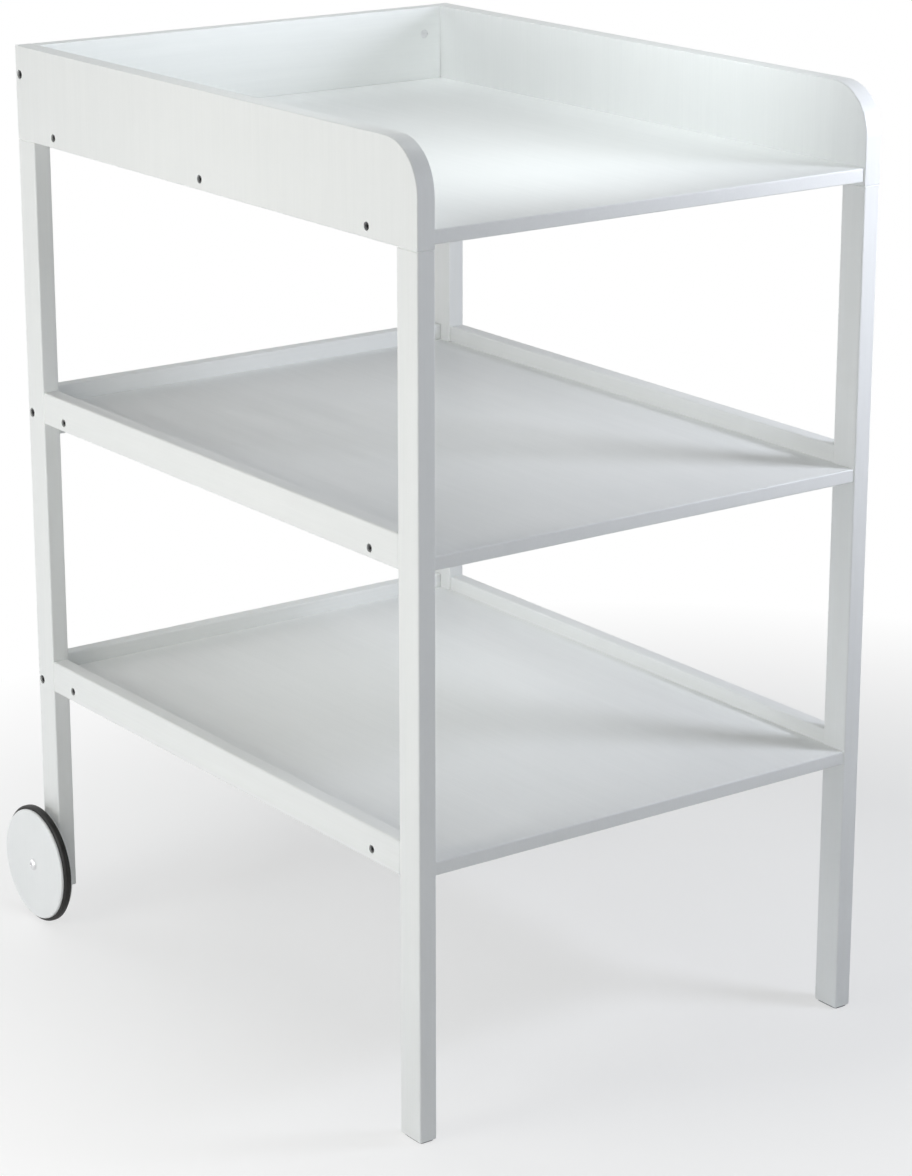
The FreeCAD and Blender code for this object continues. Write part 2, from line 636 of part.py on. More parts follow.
os.makedirs("parts", exist_ok=True)
for node, shape in all_nodes().items():
    if not shape.isValid():
        raise ValueError(node + " is not a valid shape")
    shape.exportStep("parts/" + node + ".step")
    print(node, len(shape.Solids), round(shape.Volume / 1000, 2), "cm3")
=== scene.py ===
# %% [markdown]
# # A painted changing table, from its frame to its finish
# The table is a wooden stand with three boards. Every board, leg and rail already exists as an
# exact solid, so this lesson starts from those solids and adds what they lack: turned, threaded
# and moulded small parts, finishes, light and a camera.

# %% Open the frame
import bmesh
import bpy
import json
import math
import numpy as np
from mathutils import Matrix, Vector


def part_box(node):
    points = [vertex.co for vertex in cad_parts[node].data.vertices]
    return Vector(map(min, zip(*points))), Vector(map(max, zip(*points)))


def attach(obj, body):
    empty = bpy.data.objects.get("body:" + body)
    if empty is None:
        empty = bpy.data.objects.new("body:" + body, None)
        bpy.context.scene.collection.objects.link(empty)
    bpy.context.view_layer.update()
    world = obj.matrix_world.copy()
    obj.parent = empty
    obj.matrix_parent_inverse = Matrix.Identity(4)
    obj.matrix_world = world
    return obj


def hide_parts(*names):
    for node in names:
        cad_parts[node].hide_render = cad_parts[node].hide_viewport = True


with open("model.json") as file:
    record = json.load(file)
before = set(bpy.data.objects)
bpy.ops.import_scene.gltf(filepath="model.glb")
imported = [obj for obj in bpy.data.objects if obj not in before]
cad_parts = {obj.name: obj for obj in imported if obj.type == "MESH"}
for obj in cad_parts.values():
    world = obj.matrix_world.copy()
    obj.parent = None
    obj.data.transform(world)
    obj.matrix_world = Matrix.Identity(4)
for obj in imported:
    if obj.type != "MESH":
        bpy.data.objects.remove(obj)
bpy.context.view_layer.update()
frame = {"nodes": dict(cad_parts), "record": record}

record = frame["record"]

# %% [markdown]
# ## Where things are
# A node's box gives its place. The parts that turn or screw in all lie along one axis, so a
# helper that gives a box's middle and size is enough to put a new surface where its solid is.

# %% Read places from the frame


def middle(node):
    """The middle of a node's box: the mean of its two corners."""
    low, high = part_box(node)
    return (np.array(low) + np.array(high)) / 2


def extent(node):
    """A node's size along X, Y and Z: high corner minus low corner."""
    low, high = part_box(node)
    return np.array(high) - np.array(low)


def separate_boxes(node, gaps):
    """Boxes of a node's separate solids: its points are cut where an axis has a long empty stretch.

    gaps gives, for each axis to cut, the shortest stretch without points that parts two solids."""
    mesh = frame["nodes"][node].data
    flat = np.empty(len(mesh.vertices) * 3)
    mesh.vertices.foreach_get("co", flat)
    groups = [flat.reshape(-1, 3)]
    for axis, gap in gaps.items():
        parted = []
        for group in groups:
            ordered = group[np.argsort(group[:, axis])]
            cuts = np.flatnonzero(np.diff(ordered[:, axis]) > gap) + 1
            parted.extend(np.split(ordered, cuts))
        groups = parted
    return [(group.min(axis=0), group.max(axis=0)) for group in groups]


SIDES = {"left": -1.0, "right": 1.0}
LEVELS = ["middle", "bottom"]
axles = {}
for joint in record["behaviour"]["joints"]:
    axles[joint["child"]] = np.array(joint["pos_m"])
print("axles at", {name: place.round(4).tolist() for name, place in axles.items()})

# %% [markdown]
# ## Surfaces from numbers
# Turned parts are a profile carried round an axis. The profile is a list of distances along the
# axis and radii, and the angle is the second parameter, so the whole surface is one array and
# needs no modelling by hand. Screws use the same grid with a radius that also follows a helix.

# %% Turn a profile round an axis
MM = 0.001
TURN_STEPS = 96
SHARP_DEGREES = 40.0
WELD_DISTANCE = 1e-7


def turn_angles(steps):
    """The angles of one turn, evenly spaced, without the last one that would repeat the first."""
    return np.arange(steps) * 2 * np.pi / steps


def along_axis(distance, across, upward, origin, axis):
    """Places numbers in space: origin plus distance along the axis, plus the two directions across it."""
    axis = np.array(axis, dtype=float)
    helper = np.array([0.0, 0.0, 1.0]) if abs(axis[2]) < 0.9 else np.array([1.0, 0.0, 0.0])
    first = np.cross(helper, axis)
    first = first / np.linalg.norm(first)
    second = np.cross(axis, first)
    origin = np.array(origin, dtype=float)
    return (origin + distance[..., None] * axis + across[..., None] * first
            + upward[..., None] * second)


def turned(distances, radii, origin, axis, steps=TURN_STEPS):
    """A grid of points: point (i, j) is at distances[i] along the axis, radii[i] out, turned by j steps."""
    angle = turn_angles(steps)
    radius = np.asarray(radii, dtype=float)
    if radius.ndim == 1:
        radius = radius[:, None]
    radius = np.broadcast_to(radius, (len(distances), steps))
    distance = np.broadcast_to(np.asarray(distances, dtype=float)[:, None], (len(distances), steps))
    return along_axis(distance, radius * np.cos(angle), radius * np.sin(angle), origin, axis)


def grid_faces(rows, columns, closed_rows):
    """Quads between neighbouring rows and columns of a grid whose columns go all the way round."""
    row = np.arange(rows if closed_rows else rows - 1)[:, None]
    column = np.arange(columns)[None, :]
    next_row = (row + 1) % rows
    next_column = (column + 1) % columns
    quads = np.stack([row * columns + column, row * columns + next_column,
                      next_row * columns + next_column, next_row * columns + column], axis=-1)
    return quads.reshape(-1, 4)


def signed_volume(points, quads):
    """Six times the volume, positive when faces point outwards: the sum of the corner tetrahedra."""
    a, b, c, d = (points[quads[:, k]] for k in range(4))
    return np.sum(np.cross(a, b) * c) + np.sum(np.cross(a, c) * d)


def mesh_piece(name, grids, node, body, material_slot):
    """One object from several grids. A grid is (points, closed_rows); open grids end in a pole."""
    points = []
    quads = []
    count = 0
    for grid, closed_rows in grids:
        rows, columns = grid.shape[:2]
        flat = grid.reshape(-1, 3)
        faces = grid_faces(rows, columns, closed_rows)
        if signed_volume(flat - flat.mean(axis=0), faces) < 0:
            faces = faces[:, ::-1]
        points.append(flat)
        quads.append(faces + count)
        count += len(flat)
    mesh = bpy.data.meshes.new(name)
    mesh.from_pydata(np.concatenate(points).tolist(), [], np.concatenate(quads).tolist())
    mesh.validate()
    weld(mesh)
    mesh.shade_smooth()
    mesh.set_sharp_from_angle(angle=math.radians(SHARP_DEGREES))
    piece = bpy.data.objects.new(name, mesh)
    bpy.context.scene.collection.objects.link(piece)
    mesh.materials.append(finishes[material_slot])
    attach(piece, body)
    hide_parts(node)
    print(name, len(mesh.polygons), "faces")


def weld(mesh):
    """Joins the points that fall together at a pole or a seam."""
    work = bmesh.new()
    work.from_mesh(mesh)
    bmesh.ops.remove_doubles(work, verts=work.verts, dist=WELD_DISTANCE)
    bmesh.ops.dissolve_degenerate(work, edges=work.edges, dist=WELD_DISTANCE)
    work.to_mesh(mesh)
    work.free()


def rounded(corners, radii, steps=8):
    """A closed outline with round corners: each corner is swapped for an arc of its own radius.

    The arc is a blend of the corner's two tangent points, a quadratic curve with the corner as
    its middle handle: (1-t)^2 start + 2t(1-t) corner + t^2 end."""
    corners = np.array(corners, dtype=float)
    outline = []
    total = len(corners)
    for index in range(total):
        here = corners[index]
        radius = radii[index]
        if radius == 0:
            outline.append(here)
            continue
        before = corners[index - 1] - here
        after = corners[(index + 1) % total] - here
        start = here + before / np.linalg.norm(before) * radius
        end = here + after / np.linalg.norm(after) * radius
        t = np.linspace(0, 1, steps)[:, None]
        outline.extend((1 - t) ** 2 * start + 2 * t * (1 - t) * here + t ** 2 * end)
    return np.array(outline)


# %% [markdown]
# ## Finishes
# White satin paint on wood is almost one colour, and what makes it read as paint is small: faint
# streaks along the grain, a slow change of tone, brush marks that change the gloss, and a bump
# that catches light along edges. All patterns use Object coordinates, stretched along the grain.

# %% Node helpers


def new_finish(name):
    """An empty node material with its shader and output joined up."""
    finish = bpy.data.materials.new(name)
    finish.use_nodes = True
    tree = finish.node_tree
    tree.nodes.clear()
    output = tree.nodes.new("ShaderNodeOutputMaterial")
    shader = tree.nodes.new("ShaderNodeBsdfPrincipled")
    tree.links.new(shader.outputs["BSDF"], output.inputs["Surface"])
    return finish, tree, shader


def object_place(tree, stretch):
    """Object coordinates, scaled along each axis: a small scale draws a pattern out along that axis."""
    place = tree.nodes.new("ShaderNodeTexCoord")
    mapping = tree.nodes.new("ShaderNodeMapping")
    mapping.inputs["Scale"].default_value = stretch
    tree.links.new(place.outputs["Object"], mapping.inputs["Vector"])
    return mapping.outputs["Vector"]


def noise(tree, vector, scale, detail=3.0, roughness=0.5, distortion=0.0):
    """Noise from 0 to 1 at a scale of features per metre of the stretched space."""
    texture = tree.nodes.new("ShaderNodeTexNoise")
    texture.inputs["Scale"].default_value = scale
    texture.inputs["Detail"].default_value = detail
    texture.inputs["Roughness"].default_value = roughness
    texture.inputs["Distortion"].default_value = distortion
    tree.links.new(vector, texture.inputs["Vector"])
    return texture.outputs["Fac"]


def remap(tree, value, low, high, new_low, new_high):
    """Carries the range low to high onto new_low to new_high, clamped at both ends."""
    ranger = tree.nodes.new("ShaderNodeMapRange")
    ranger.inputs["From Min"].default_value = low
    ranger.inputs["From Max"].default_value = high
    ranger.inputs["To Min"].default_value = new_low
    ranger.inputs["To Max"].default_value = new_high
    tree.links.new(value, ranger.inputs["Value"])
    return ranger.outputs["Result"]


def arithmetic(tree, operation, first, second):
    """One math node on two values, each a socket or a number."""
    maths = tree.nodes.new("ShaderNodeMath")
    maths.operation = operation
    for socket, value in zip(maths.inputs, (first, second)):
        if isinstance(value, (int, float)):
            socket.default_value = value
        else:
            tree.links.new(value, socket)
    return maths.outputs["Value"]


def blend_colour(tree, factor, first, second):
    """Mixes two colours by a factor socket."""
    mixer = tree.nodes.new("ShaderNodeMix")
    mixer.data_type = "RGBA"
    tree.links.new(factor, mixer.inputs["Factor"])
    for socket, value in ((mixer.inputs["A"], first), (mixer.inputs["B"], second)):
        if isinstance(value, tuple):
            socket.default_value = (*value, 1.0)
        else:
            tree.links.new(value, socket)
    return mixer.outputs["Result"]


def bump(tree, height, distance, normal=None):
    """A bump node: distance is the height in metres of a full step from 0 to 1."""
    bumper = tree.nodes.new("ShaderNodeBump")
    bumper.inputs["Distance"].default_value = distance
    tree.links.new(height, bumper.inputs["Height"])
    if normal is not None:
        tree.links.new(normal, bumper.inputs["Normal"])
    return bumper.outputs["Normal"]


# %% Painted wood
EVERYWHERE = (1.0, 1.0, 1.0)
PAINT_TONES = [(0.840, 0.852, 0.848), (0.885, 0.895, 0.890)]
GRAIN_STRETCH = {"x": (0.03, 1.0, 1.0), "y": (1.0, 0.03, 1.0), "z": (1.0, 1.0, 0.03)}


def painted_wood(name, grain):
    """White satin paint: streaks and pores along the grain, slow tone changes, brush marks in the gloss."""
    finish, tree, shader = new_finish(name)
    along = object_place(tree, GRAIN_STRETCH[grain])
    everywhere = object_place(tree, EVERYWHERE)
    streaks = noise(tree, along, 420.0, detail=4.0, roughness=0.62)
    figure = noise(tree, along, 70.0, detail=3.0, distortion=0.6)
    cloud = noise(tree, everywhere, 5.0, detail=2.0)
    peel = noise(tree, everywhere, 900.0, detail=2.0)
    tone = arithmetic(tree, "ADD", arithmetic(tree, "MULTIPLY", streaks, 0.45),
                      arithmetic(tree, "MULTIPLY", figure, 0.25))
    tone = arithmetic(tree, "ADD", tone, arithmetic(tree, "MULTIPLY", cloud, 0.3))
    tone = remap(tree, tone, 0.32, 0.68, 0.0, 1.0)
    colour = blend_colour(tree, tone, PAINT_TONES[0], PAINT_TONES[1])
    tree.links.new(colour, shader.inputs["Base Color"])
    brush = noise(tree, along, 160.0, detail=3.0)
    tree.links.new(remap(tree, brush, 0.3, 0.7, 0.34, 0.5), shader.inputs["Roughness"])
    normal = bump(tree, streaks, 0.00009)
    normal = bump(tree, peel, 0.00003, normal)
    tree.links.new(normal, shader.inputs["Normal"])
    return finish


paint = {grain: painted_wood("white_paint_" + grain, grain) for grain in GRAIN_STRETCH}
print("paint finishes:", sorted(paint))

# %% [markdown]
# ### Which way the grain runs
# A board's grain runs along its length, so legs take the upright paint, rails the lengthwise one
# and the back pieces the crosswise one. A CAD node keeps its mesh and only gets its material.

# %% Paint the wooden nodes
GRAIN_OF = {}
for side in SIDES:
    GRAIN_OF["front_" + side + "_leg"] = "z"
    GRAIN_OF["rear_" + side + "_leg"] = "z"
    GRAIN_OF[side + "_side_panel"] = "z"
    for level in LEVELS:
        GRAIN_OF[side + "_" + level + "_rail"] = "y"
GRAIN_OF["top_board"] = "y"
GRAIN_OF["back_panel"] = "x"
for level in LEVELS:
    GRAIN_OF[level + "_shelf"] = "y"
    GRAIN_OF[level + "_back_rail"] = "x"


def dress(node, finish):
    """Gives every material slot of a CAD node one finish."""
    piece = frame["nodes"][node]
    if not piece.material_slots:
        piece.data.materials.append(finish)
    for material_slot in piece.material_slots:
        material_slot.material = finish


for node, grain in GRAIN_OF.items():
    dress(node, paint[grain])
print("painted", len(GRAIN_OF), "wooden nodes")

# %% [markdown]
# ### Rubber, steel, nylon and bare wood
# Rubber is dark and dull with a fine grain. Plated steel is a metal whose gloss is broken by fine
# scratches; the screws' steel is painted near black as painted shade of their counterbores. Nylon and glide
# plastic are smooth and slightly uneven. Dowels are bare beech.

# %% The other finishes
RUBBER_TONES = [(0.012, 0.0117, 0.0113), (0.027, 0.0262, 0.0254)]
BEECH_TONES = [(0.48, 0.31, 0.18), (0.66, 0.48, 0.30)]
WHEEL_TONES = [(0.86, 0.875, 0.88), (0.90, 0.91, 0.915)]


def rubber(name):
    """Black rubber: near-black colour with a dusty lighter tone, dull, with a fine grainy bump."""
    finish, tree, shader = new_finish(name)
    shader.inputs["Specular IOR Level"].default_value = 0.3
    place = object_place(tree, EVERYWHERE)
    dust = noise(tree, place, 60.0, detail=4.0)
    grain = noise(tree, place, 1500.0, detail=2.0)
    tone = remap(tree, dust, 0.35, 0.7, 0.0, 1.0)
    colour = blend_colour(tree, tone, RUBBER_TONES[0], RUBBER_TONES[1])
    tree.links.new(colour, shader.inputs["Base Color"])
    tree.links.new(remap(tree, grain, 0.3, 0.7, 0.42, 0.6), shader.inputs["Roughness"])
    tree.links.new(bump(tree, grain, 0.00006), shader.inputs["Normal"])
    return finish


def plated(name, dark, light, roughness):
    """Plated steel: a metal between two tones, with fine scratches in its gloss and bump."""
    finish, tree, shader = new_finish(name)
    shader.inputs["Metallic"].default_value = 1.0
    place = object_place(tree, EVERYWHERE)
    scratched = object_place(tree, (0.2, 1.0, 1.0))
    patches = noise(tree, place, 260.0, detail=3.0)
    scratches = noise(tree, scratched, 2600.0, detail=3.0)
    colour = blend_colour(tree, remap(tree, patches, 0.3, 0.7, 0.0, 1.0), dark, light)
    tree.links.new(colour, shader.inputs["Base Color"])
    tree.links.new(remap(tree, scratches, 0.3, 0.7, roughness - 0.08, roughness + 0.1),
                   shader.inputs["Roughness"])
    tree.links.new(bump(tree, scratches, 0.00002), shader.inputs["Normal"])
    return finish


def moulded(name, dark, light):
    """Moulded plastic: an even colour with slow mottling and a fine orange-peel bump."""
    finish, tree, shader = new_finish(name)
    place = object_place(tree, EVERYWHERE)
    mottle = noise(tree, place, 120.0, detail=3.0)
    peel = noise(tree, place, 1400.0, detail=2.0)
    colour = blend_colour(tree, remap(tree, mottle, 0.3, 0.7, 0.0, 1.0), dark, light)
    tree.links.new(colour, shader.inputs["Base Color"])
    tree.links.new(remap(tree, peel, 0.3, 0.7, 0.38, 0.5), shader.inputs["Roughness"])
    tree.links.new(bump(tree, peel, 0.00003), shader.inputs["Normal"])
    return finish


def beech(name):
    """Bare beech: fine flecks and soft rings drawn out along X, with open pores in the bump."""
    finish, tree, shader = new_finish(name)
    along = object_place(tree, (0.08, 1.0, 1.0))
    rings = noise(tree, along, 260.0, detail=4.0, distortion=0.8)
    pores = noise(tree, along, 1600.0, detail=3.0)
    tone = remap(tree, rings, 0.3, 0.7, 0.0, 1.0)
    colour = blend_colour(tree, tone, BEECH_TONES[0], BEECH_TONES[1])
    tree.links.new(colour, shader.inputs["Base Color"])
    tree.links.new(remap(tree, pores, 0.3, 0.7, 0.55, 0.75), shader.inputs["Roughness"])
    tree.links.new(bump(tree, pores, 0.0001), shader.inputs["Normal"])
    return finish


def wheel_paint(name):
    """White paint on a turned disc: even streaks, a slow cloud of tone and a light orange peel."""
    finish, tree, shader = new_finish(name)
    place = object_place(tree, EVERYWHERE)
    along = object_place(tree, GRAIN_STRETCH["z"])
    cloud = noise(tree, place, 24.0, detail=3.0)
    streaks = noise(tree, along, 420.0, detail=3.0)
    peel = noise(tree, place, 900.0, detail=2.0)
    tone = arithmetic(tree, "ADD", arithmetic(tree, "MULTIPLY", cloud, 0.6),
                      arithmetic(tree, "MULTIPLY", streaks, 0.4))
    tone = remap(tree, tone, 0.32, 0.68, 0.0, 1.0)
    colour = blend_colour(tree, tone, WHEEL_TONES[0], WHEEL_TONES[1])
    tree.links.new(colour, shader.inputs["Base Color"])
    tree.links.new(remap(tree, cloud, 0.3, 0.7, 0.32, 0.46), shader.inputs["Roughness"])
    tree.links.new(bump(tree, peel, 0.00004), shader.inputs["Normal"])
    return finish


finishes = {
    "tyre_rubber": rubber("tyre_rubber"),
    # The screws' steel is near black: painted shade that stands in for the shade in their counterbores.
    "screw_steel": plated("plated_steel_painted_recess_shade", (0.06, 0.06, 0.062), (0.12, 0.12, 0.122), 0.4),
    "nut_steel": plated("bright_plated_steel", (0.72, 0.72, 0.73), (0.84, 0.84, 0.85), 0.4),
    "bush_plastic": moulded("white_nylon", (0.74, 0.74, 0.73), (0.80, 0.80, 0.79)),
    "glide_plastic": moulded("grey_plastic", (0.06, 0.06, 0.065), (0.085, 0.085, 0.09)),
    "dowel_wood": beech("bare_beech"),
    "wheel_paint": wheel_paint("wheel_paint"),
}
SLOT_OF = {entry["node"]: entry["material_slot"] for entry in record["subparts"]}
for node, slot_name in SLOT_OF.items():
    if slot_name in finishes:
        dress(node, finishes[slot_name])
print("finishes:", sorted(finishes))

# %% [markdown]
# ## Turned and threaded small parts
# Each fastener on the real table is a turned part with a hexagon socket in its head and a thread
# cut along its shank. It could be made from primitives joined by booleans, but a radius that is a
# function of angle and distance gives the socket, the head and the helix in one closed surface.

# %% Radii that follow a hexagon and a helix


def hexagon_radius(flats, steps):
    """Distance from the middle to a hexagon's rim: half the flats over the cosine from the nearest flat."""
    from_flat = (turn_angles(steps) + np.pi / 6) % (np.pi / 3) - np.pi / 6
    return flats / 2 / np.cos(from_flat)


def thread_radius(distances, radius, pitch, depth, steps):
    """Crest radius less a groove: depth times a triangle wave of (distance / pitch - turn)."""
    turn = turn_angles(steps)[None, :] / (2 * np.pi)
    phase = (np.asarray(distances)[:, None] / pitch - turn) % 1.0
    groove = np.clip(1.25 - np.abs(phase - 0.5) * 4.0, 0.0, 1.0)
    return radius - depth * groove


def stack(rows, steps):
    """Joins bands of (distances, radii) into one band; a lone radius goes all the way round."""
    distances = []
    radii = []
    for distance, radius in rows:
        distance = np.atleast_1d(np.asarray(distance, dtype=float))
        radius = np.asarray(radius, dtype=float)
        if radius.ndim < 2 and radius.shape != (steps,):
            radius = radius.reshape(-1, 1)
        distances.append(distance)
        radii.append(np.broadcast_to(radius, (len(distance), steps)))
    return np.concatenate(distances), np.concatenate(radii)


def arc_rows(centre, radius, start, end, count=7):
    """Points of an arc in the (distance, radius) plane, from one angle in degrees to another."""
    angle = np.radians(np.linspace(start, end, count))
    return centre[0] + radius * np.cos(angle), centre[1] + radius * np.sin(angle)


# %% [markdown]
# ### Screws and bolts
# A screw's surface starts at a pole in the floor of its socket, climbs the hexagon's walls, crosses
# the head, turns down its side and runs along the thread to a second pole at the tip.

# %% A socket fastener as one surface
FASTENER_STEPS = 48
SOCKET_TAPER = 0.97
SOCKET_CONE = 0.18
SOCKET_LEAD = 0.25 * MM
SOCKET_BEVEL = 0.22 * MM
HEAD_BREAK = 0.15 * MM
NECK_ROUND = 0.3 * MM
TIP_LENGTH = 1.0 * MM
THREAD_STOP = 1.2 * MM


def socket_fastener(head_top, outward, head, shank, socket, thread):
    """A closed grid: socket floor, socket walls, head, shank, thread and tip, each a band of radii.

    head is (radius, height, edge round), shank (radius, length, plain length), socket (flats,
    depth) and thread (pitch, depth), all in metres. Distance is negative going in."""
    head_radius, head_height, edge = head
    shank_radius, length, plain = shank
    flats, socket_depth = socket
    pitch, depth = thread
    hexagon = hexagon_radius(flats, FASTENER_STEPS)
    rim_distance, rim_radius = arc_rows((-edge, head_radius - edge), edge, 0, 90)
    cut = np.arange(plain, length - THREAD_STOP, pitch / 6)
    rows = [
        (-socket_depth - flats * SOCKET_CONE, 0.0),
        (-socket_depth, hexagon * SOCKET_TAPER),
        (-SOCKET_LEAD, hexagon),
        (0.0, hexagon + SOCKET_BEVEL),
        (rim_distance, rim_radius),
        (-head_height + HEAD_BREAK, head_radius),
        (-head_height, head_radius - HEAD_BREAK),
        (-head_height, shank_radius + NECK_ROUND),
        (-head_height - NECK_ROUND, shank_radius),
        (-plain, shank_radius),
        (-cut, thread_radius(cut, shank_radius, pitch, depth, FASTENER_STEPS)),
        (-length + TIP_LENGTH, shank_radius - depth),
        (-length, shank_radius * 0.45),
        (-length, 0.0),
    ]
    distances, radii = stack(rows, FASTENER_STEPS)
    return turned(distances, radii, head_top, (outward, 0, 0), steps=FASTENER_STEPS)


def fastener_grids(boxes, outward, head, shank, socket, thread):
    """One grid for each box: the head's top is in the middle of the box's outer face."""
    grids = []
    shank_radius, plain = shank
    for low, high in boxes:
        centre = (low + high) / 2
        head_top = (high[0] if outward > 0 else low[0], centre[1], centre[2])
        length = high[0] - low[0]
        radius = (high[2] - low[2]) / 2
        grid = socket_fastener(head_top, outward, (radius, *head), (shank_radius, length, plain),
                               socket, thread)
        grids.append((grid, False))
    return grids


SCREW_GAPS = {1: 0.05}
BOLT_GAPS = {0: 0.2}
SCREW_HEAD = (4.0 * MM, 0.5 * MM)
SCREW_SHANK = (2.5 * MM, 17.0 * MM)
SCREW_SOCKET = (3.0 * MM, 2.4 * MM)
SCREW_THREAD = (2.2 * MM, 0.75 * MM)
BOLT_HEAD = (4.0 * MM, 0.6 * MM)
BOLT_SHANK = (3.0 * MM, 26.0 * MM)
BOLT_SOCKET = (4.0 * MM, 2.5 * MM)
BOLT_THREAD = (1.0 * MM, 0.42 * MM)


def fit_screws(node):
    """The wood screws of one node: coarse thread over the part that bites into the board."""
    side = 1.0 if middle(node)[0] > 0 else -1.0
    grids = fastener_grids(separate_boxes(node, SCREW_GAPS), side, SCREW_HEAD, SCREW_SHANK,
                           SCREW_SOCKET, SCREW_THREAD)
    mesh_piece(node + "_threaded", grids, node, "table", "screw_steel")


def fit_bolts(node):
    """The machine bolts of one node: fine thread over the end that meets the barrel nut."""
    grids = []
    for low, high in separate_boxes(node, BOLT_GAPS):
        side = 1.0 if low[0] > 0 else -1.0
        grids.extend(fastener_grids([(low, high)], side, BOLT_HEAD, BOLT_SHANK,
                                    BOLT_SOCKET, BOLT_THREAD))
    mesh_piece(node + "_threaded", grids, node, "table", "screw_steel")


for side in SIDES:
    fit_screws(side + "_panel_screws")
    fit_bolts(side + "_back_panel_bolt")
    for level in LEVELS:
        fit_screws(side + "_" + level + "_shelf_screws")
for level in LEVELS:
    fit_bolts(level + "_back_rail_bolts")

# %% [markdown]
# ### Dowels
# A real dowel is fluted, so that glue can escape, and its ends are chamfered so that it starts in
# its hole. The flutes are a radius that dips a set number of times round the turn.

# %% Fluted dowels
DOWEL_FLUTES = 16
FLUTE_DEPTH = 0.28 * MM
DOWEL_CHAMFER = 0.9 * MM


def fluted_dowel(low, high):
    """Radius less the flute depth times a raised cosine of the angle, between two chamfered ends."""
    axis = int(np.argmax(high - low))
    length = (high - low)[axis]
    radius = np.min(high - low) / 2
    start = (low + high) / 2
    start[axis] = low[axis]
    steps = DOWEL_FLUTES * 6
    wave = (0.5 - 0.5 * np.cos(DOWEL_FLUTES * turn_angles(steps))) ** 3
    fluted = radius - FLUTE_DEPTH * wave
    ends = fluted - DOWEL_CHAMFER * 0.8
    rows = [(0.0, 0.0), (0.0, ends), (DOWEL_CHAMFER, fluted),
            (length - DOWEL_CHAMFER, fluted), (length, ends), (length, 0.0)]
    distances, radii = stack(rows, steps)
    direction = np.eye(3)[axis]
    return turned(distances, radii, start, direction, steps=steps)


DOWEL_GAPS = {
    "_rail_dowels": {1: 0.05, 2: 0.008},
    "_leg_top_dowels": {1: 0.05},
    "_back_dowels": {2: 0.008},
}
for side in SIDES:
    for ending, gaps in DOWEL_GAPS.items():
        node = side + ending
        grids = [(fluted_dowel(low, high), False) for low, high in separate_boxes(node, gaps)]
        mesh_piece(node + "_fluted", grids, node, "table", "dowel_wood")

# %% [markdown]
# ## Wheels
# Each wheel is a wooden disc with soft edges, a groove round its rim and a rubber ring in the
# groove. All of it is round, so every piece is an outline in the (distance, radius) plane that is
# closed on itself and carried round the axle. The corner radii carry the highlights.

# %% Rings from closed outlines
WHEEL_STEPS = 192


def ring_piece(name, node, body, corners, radii, place, outward, material_slot, steps=WHEEL_STEPS):
    """Turns a closed outline of (distance, radius) corners, each with its own round, about the axle."""
    outline = rounded(corners, radii)
    grid = turned(outline[:, 0], outline[:, 1], place, (outward, 0, 0), steps=steps)
    mesh_piece(name, [(grid, True)], node, body, material_slot)


# %% Discs, tyres, bushes, spacers and washers
GROOVE_DEPTH = 3.1 * MM
AXLE_RADIUS = 4.0 * MM
BUSH_CLEARANCE = 0.06 * MM
TREAD_CROWN = 0.5 * MM
TREAD_SHOULDER = 2.6 * MM


def inner_face(node, outward):
    """The X of the side of a node's box that is nearest the middle of the table."""
    low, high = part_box(node)
    return low[0] if outward > 0 else high[0]


def tyre_outline(width, inner, outer):
    """A tread that bows, with round shoulders.

    Its radius is the outer radius less the crown times the square of the place across."""
    across = np.linspace(-1, 1, 33)
    bow = outer - TREAD_CROWN * across ** 2
    edge = (np.abs(across) * width / 2 - (width / 2 - TREAD_SHOULDER)) / TREAD_SHOULDER
    edge = np.clip(edge, 0, 1)
    tread = bow - TREAD_SHOULDER * (1 - np.sqrt(1 - edge ** 2))
    distances = width / 2 + across * width / 2
    walls = np.array([[width, inner + 0.3 * MM], [width - 0.3 * MM, inner],
                      [0.3 * MM, inner], [0.0, inner + 0.3 * MM]])
    return np.concatenate([np.stack([distances, tread], axis=-1), walls])


